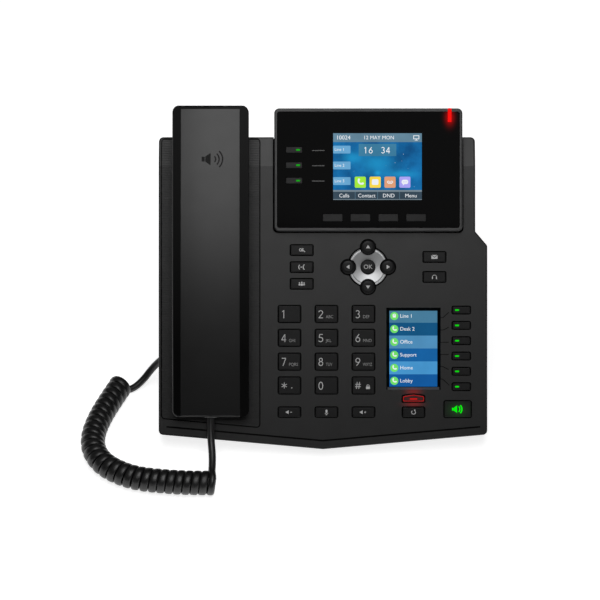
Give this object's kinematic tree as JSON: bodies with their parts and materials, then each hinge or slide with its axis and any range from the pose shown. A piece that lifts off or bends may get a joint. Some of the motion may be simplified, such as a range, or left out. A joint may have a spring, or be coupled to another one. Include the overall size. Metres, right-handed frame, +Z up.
{
  "type": "desk telephone",
  "caption": "Desk IP telephone with a corded handset on the left, raised colour display head, keypad, side screen with speed-dial keys, and a clip-on stand.",
  "frame": {"origin": "centre of the bounding box of the phone without its cord, at the undersides of the feet", "axes": "+X to the user's right along the width, +Y away from the user, +Z up from the desk"},
  "size_m": [0.2609, 0.2034, 0.177],
  "materials": {
    "front_housing": "fine textured, dark grey",
    "rear_housing": "textured, dark grey",
    "display_rim": "satin, dark grey",
    "window": "black, polished",
    "screen": "lit blue screen",
    "screen_side": "lit blue screen",
    "keycap": "moulded, near black",
    "soft_key": "moulded, dark grey",
    "line_key": "moulded, dark grey",
    "ring": "satin silver",
    "message_lamp": "red, lit",
    "handset_shell": "fine textured, near black",
    "stand": "textured, dark grey",
    "board": "solder mask, green",
    "rubber_foot": "matte black",
    "screw": "zinc plated",
    "cord_jacket": "satin black jacket",
    "clear_plug": "clear, moulded"
  },
  "bodies": {
    "base": {"base_plug": "clear_plug", "circuit_board": "board", "desk_stand": "stand", "display_bezel": "display_rim", "display_window": "window", "front_cover": "front_housing", "handset_cord_coil": "cord_jacket", "handset_cord_leads": "cord_jacket", "housing_screws": "screw", "main_display": "screen", "message_light": "message_lamp", "nav_ring": "ring", "rear_cover": "rear_housing", "rubber_feet": "rubber_foot", "side_display": "screen_side"},
    "handset": {"handset_back": "handset_shell", "handset_front": "handset_shell", "handset_plug": "clear_plug"},
    "hook_switch": {"hook_switch": "keycap"},
    "conference_key_cap": {"conference_key": "keycap"},
    "headset_key_cap": {"headset_key": "keycap"},
    "hold_key_cap": {"hold_key": "keycap"},
    "key_0_cap": {"key_0": "keycap"},
    "key_1_cap": {"key_1": "keycap"},
    "key_2_cap": {"key_2": "keycap"},
    "key_3_cap": {"key_3": "keycap"},
    "key_4_cap": {"key_4": "keycap"},
    "key_5_cap": {"key_5": "keycap"},
    "key_6_cap": {"key_6": "keycap"},
    "key_7_cap": {"key_7": "keycap"},
    "key_8_cap": {"key_8": "keycap"},
    "key_9_cap": {"key_9": "keycap"},
    "key_hash_cap": {"key_hash": "keycap"},
    "key_star_cap": {"key_star": "keycap"},
    "line_key_1_cap": {"line_key_1": "line_key"},
    "line_key_2_cap": {"line_key_2": "line_key"},
    "line_key_3_cap": {"line_key_3": "line_key"},
    "mute_key_cap": {"mute_key": "keycap"},
    "nav_down_key_cap": {"nav_down_key": "keycap"},
    "nav_left_key_cap": {"nav_left_key": "keycap"},
    "nav_right_key_cap": {"nav_right_key": "keycap"},
    "nav_up_key_cap": {"nav_up_key": "keycap"},
    "ok_key_cap": {"ok_key": "keycap"},
    "page_key_cap": {"page_key": "keycap"},
    "redial_key_cap": {"redial_key": "keycap"},
    "soft_key_1_cap": {"soft_key_1": "soft_key"},
    "soft_key_2_cap": {"soft_key_2": "soft_key"},
    "soft_key_3_cap": {"soft_key_3": "soft_key"},
    "soft_key_4_cap": {"soft_key_4": "soft_key"},
    "speaker_key_cap": {"speaker_key": "keycap"},
    "speed_dial_key_1_cap": {"speed_dial_key_1": "keycap"},
    "speed_dial_key_2_cap": {"speed_dial_key_2": "keycap"},
    "speed_dial_key_3_cap": {"speed_dial_key_3": "keycap"},
    "speed_dial_key_4_cap": {"speed_dial_key_4": "keycap"},
    "speed_dial_key_5_cap": {"speed_dial_key_5": "keycap"},
    "speed_dial_key_6_cap": {"speed_dial_key_6": "keycap"},
    "transfer_key_cap": {"transfer_key": "keycap"},
    "voicemail_key_cap": {"voicemail_key": "keycap"},
    "volume_down_key_cap": {"volume_down_key": "keycap"},
    "volume_up_key_cap": {"volume_up_key": "keycap"}
  },
  "joints": [
    {"name": "handset_lift", "type": "slide", "parent": "base", "child": "handset", "axis": [0, -0.7071, 0.7071], "range_m": [0, 0.1]},
    {"name": "hook_switch_rise", "type": "slide", "parent": "base", "child": "hook_switch", "axis": [0, -0.7071, 0.7071], "range_m": [0, 0.003]},
    {"name": "conference_key_press", "type": "slide", "parent": "base", "child": "conference_key_cap", "axis": [0, 0.7071, -0.7071], "range_m": [0, 0.0012], "stiffness_N_per_m": 400, "springref_m": -0.002},
    {"name": "headset_key_press", "type": "slide", "parent": "base", "child": "headset_key_cap", "axis": [0, 0.7071, -0.7071], "range_m": [0, 0.0012], "stiffness_N_per_m": 400, "springref_m": -0.002},
    {"name": "hold_key_press", "type": "slide", "parent": "base", "child": "hold_key_cap", "axis": [0, 0.7071, -0.7071], "range_m": [0, 0.0012], "stiffness_N_per_m": 400, "springref_m": -0.002},
    {"name": "key_0_press", "type": "slide", "parent": "base", "child": "key_0_cap", "axis": [0, 0.7071, -0.7071], "range_m": [0, 0.0012], "stiffness_N_per_m": 400, "springref_m": -0.002},
    {"name": "key_1_press", "type": "slide", "parent": "base", "child": "key_1_cap", "axis": [0, 0.7071, -0.7071], "range_m": [0, 0.0012], "stiffness_N_per_m": 400, "springref_m": -0.002},
    {"name": "key_2_press", "type": "slide", "parent": "base", "child": "key_2_cap", "axis": [0, 0.7071, -0.7071], "range_m": [0, 0.0012], "stiffness_N_per_m": 400, "springref_m": -0.002},
    {"name": "key_3_press", "type": "slide", "parent": "base", "child": "key_3_cap", "axis": [0, 0.7071, -0.7071], "range_m": [0, 0.0012], "stiffness_N_per_m": 400, "springref_m": -0.002},
    {"name": "key_4_press", "type": "slide", "parent": "base", "child": "key_4_cap", "axis": [0, 0.7071, -0.7071], "range_m": [0, 0.0012], "stiffness_N_per_m": 400, "springref_m": -0.002},
    {"name": "key_5_press", "type": "slide", "parent": "base", "child": "key_5_cap", "axis": [0, 0.7071, -0.7071], "range_m": [0, 0.0012], "stiffness_N_per_m": 400, "springref_m": -0.002},
    {"name": "key_6_press", "type": "slide", "parent": "base", "child": "key_6_cap", "axis": [0, 0.7071, -0.7071], "range_m": [0, 0.0012], "stiffness_N_per_m": 400, "springref_m": -0.002},
    {"name": "key_7_press", "type": "slide", "parent": "base", "child": "key_7_cap", "axis": [0, 0.7071, -0.7071], "range_m": [0, 0.0012], "stiffness_N_per_m": 400, "springref_m": -0.002},
    {"name": "key_8_press", "type": "slide", "parent": "base", "child": "key_8_cap", "axis": [0, 0.7071, -0.7071], "range_m": [0, 0.0012], "stiffness_N_per_m": 400, "springref_m": -0.002},
    {"name": "key_9_press", "type": "slide", "parent": "base", "child": "key_9_cap", "axis": [0, 0.7071, -0.7071], "range_m": [0, 0.0012], "stiffness_N_per_m": 400, "springref_m": -0.002},
    {"name": "key_hash_press", "type": "slide", "parent": "base", "child": "key_hash_cap", "axis": [0, 0.7071, -0.7071], "range_m": [0, 0.0012], "stiffness_N_per_m": 400, "springref_m": -0.002},
    {"name": "key_star_press", "type": "slide", "parent": "base", "child": "key_star_cap", "axis": [0, 0.7071, -0.7071], "range_m": [0, 0.0012], "stiffness_N_per_m": 400, "springref_m": -0.002},
    {"name": "line_key_1_press", "type": "slide", "parent": "base", "child": "line_key_1_cap", "axis": [0, 0.7071, -0.7071], "range_m": [0, 0.0012], "stiffness_N_per_m": 400, "springref_m": -0.002},
    {"name": "line_key_2_press", "type": "slide", "parent": "base", "child": "line_key_2_cap", "axis": [0, 0.7071, -0.7071], "range_m": [0, 0.0012], "stiffness_N_per_m": 400, "springref_m": -0.002},
    {"name": "line_key_3_press", "type": "slide", "parent": "base", "child": "line_key_3_cap", "axis": [0, 0.7071, -0.7071], "range_m": [0, 0.0012], "stiffness_N_per_m": 400, "springref_m": -0.002},
    {"name": "mute_key_press", "type": "slide", "parent": "base", "child": "mute_key_cap", "axis": [0, 0.7071, -0.7071], "range_m": [0, 0.0012], "stiffness_N_per_m": 400, "springref_m": -0.002},
    {"name": "nav_down_key_press", "type": "slide", "parent": "base", "child": "nav_down_key_cap", "axis": [0, 0.7071, -0.7071], "range_m": [0, 0.0012], "stiffness_N_per_m": 400, "springref_m": -0.002},
    {"name": "nav_left_key_press", "type": "slide", "parent": "base", "child": "nav_left_key_cap", "axis": [0, 0.7071, -0.7071], "range_m": [0, 0.0012], "stiffness_N_per_m": 400, "springref_m": -0.002},
    {"name": "nav_right_key_press", "type": "slide", "parent": "base", "child": "nav_right_key_cap", "axis": [0, 0.7071, -0.7071], "range_m": [0, 0.0012], "stiffness_N_per_m": 400, "springref_m": -0.002},
    {"name": "nav_up_key_press", "type": "slide", "parent": "base", "child": "nav_up_key_cap", "axis": [0, 0.7071, -0.7071], "range_m": [0, 0.0012], "stiffness_N_per_m": 400, "springref_m": -0.002},
    {"name": "ok_key_press", "type": "slide", "parent": "base", "child": "ok_key_cap", "axis": [0, 0.7071, -0.7071], "range_m": [0, 0.0012], "stiffness_N_per_m": 400, "springref_m": -0.002},
    {"name": "page_key_press", "type": "slide", "parent": "base", "child": "page_key_cap", "axis": [0, 0.7071, -0.7071], "range_m": [0, 0.0012], "stiffness_N_per_m": 400, "springref_m": -0.002},
    {"name": "redial_key_press", "type": "slide", "parent": "base", "child": "redial_key_cap", "axis": [0, 0.7071, -0.7071], "range_m": [0, 0.0012], "stiffness_N_per_m": 400, "springref_m": -0.002},
    {"name": "soft_key_1_press", "type": "slide", "parent": "base", "child": "soft_key_1_cap", "axis": [0, 0.7071, -0.7071], "range_m": [0, 0.0012], "stiffness_N_per_m": 400, "springref_m": -0.002},
    {"name": "soft_key_2_press", "type": "slide", "parent": "base", "child": "soft_key_2_cap", "axis": [0, 0.7071, -0.7071], "range_m": [0, 0.0012], "stiffness_N_per_m": 400, "springref_m": -0.002},
    {"name": "soft_key_3_press", "type": "slide", "parent": "base", "child": "soft_key_3_cap", "axis": [0, 0.7071, -0.7071], "range_m": [0, 0.0012], "stiffness_N_per_m": 400, "springref_m": -0.002},
    {"name": "soft_key_4_press", "type": "slide", "parent": "base", "child": "soft_key_4_cap", "axis": [0, 0.7071, -0.7071], "range_m": [0, 0.0012], "stiffness_N_per_m": 400, "springref_m": -0.002},
    {"name": "speaker_key_press", "type": "slide", "parent": "base", "child": "speaker_key_cap", "axis": [0, 0.7071, -0.7071], "range_m": [0, 0.0012], "stiffness_N_per_m": 400, "springref_m": -0.002},
    {"name": "speed_dial_key_1_press", "type": "slide", "parent": "base", "child": "speed_dial_key_1_cap", "axis": [0, 0.7071, -0.7071], "range_m": [0, 0.0012], "stiffness_N_per_m": 400, "springref_m": -0.002},
    {"name": "speed_dial_key_2_press", "type": "slide", "parent": "base", "child": "speed_dial_key_2_cap", "axis": [0, 0.7071, -0.7071], "range_m": [0, 0.0012], "stiffness_N_per_m": 400, "springref_m": -0.002},
    {"name": "speed_dial_key_3_press", "type": "slide", "parent": "base", "child": "speed_dial_key_3_cap", "axis": [0, 0.7071, -0.7071], "range_m": [0, 0.0012], "stiffness_N_per_m": 400, "springref_m": -0.002},
    {"name": "speed_dial_key_4_press", "type": "slide", "parent": "base", "child": "speed_dial_key_4_cap", "axis": [0, 0.7071, -0.7071], "range_m": [0, 0.0012], "stiffness_N_per_m": 400, "springref_m": -0.002},
    {"name": "speed_dial_key_5_press", "type": "slide", "parent": "base", "child": "speed_dial_key_5_cap", "axis": [0, 0.7071, -0.7071], "range_m": [0, 0.0012], "stiffness_N_per_m": 400, "springref_m": -0.002},
    {"name": "speed_dial_key_6_press", "type": "slide", "parent": "base", "child": "speed_dial_key_6_cap", "axis": [0, 0.7071, -0.7071], "range_m": [0, 0.0012], "stiffness_N_per_m": 400, "springref_m": -0.002},
    {"name": "transfer_key_press", "type": "slide", "parent": "base", "child": "transfer_key_cap", "axis": [0, 0.7071, -0.7071], "range_m": [0, 0.0012], "stiffness_N_per_m": 400, "springref_m": -0.002},
    {"name": "voicemail_key_press", "type": "slide", "parent": "base", "child": "voicemail_key_cap", "axis": [0, 0.7071, -0.7071], "range_m": [0, 0.0012], "stiffness_N_per_m": 400, "springref_m": -0.002},
    {"name": "volume_down_key_press", "type": "slide", "parent": "base", "child": "volume_down_key_cap", "axis": [0, 0.7071, -0.7071], "range_m": [0, 0.0012], "stiffness_N_per_m": 400, "springref_m": -0.002},
    {"name": "volume_up_key_press", "type": "slide", "parent": "base", "child": "volume_up_key_cap", "axis": [0, 0.7071, -0.7071], "range_m": [0, 0.0012], "stiffness_N_per_m": 400, "springref_m": -0.002}
  ],
  "couplings": [
    {"joint": "hook_switch_rise", "follows": "handset_lift", "ratio": 0.03}
  ]
}
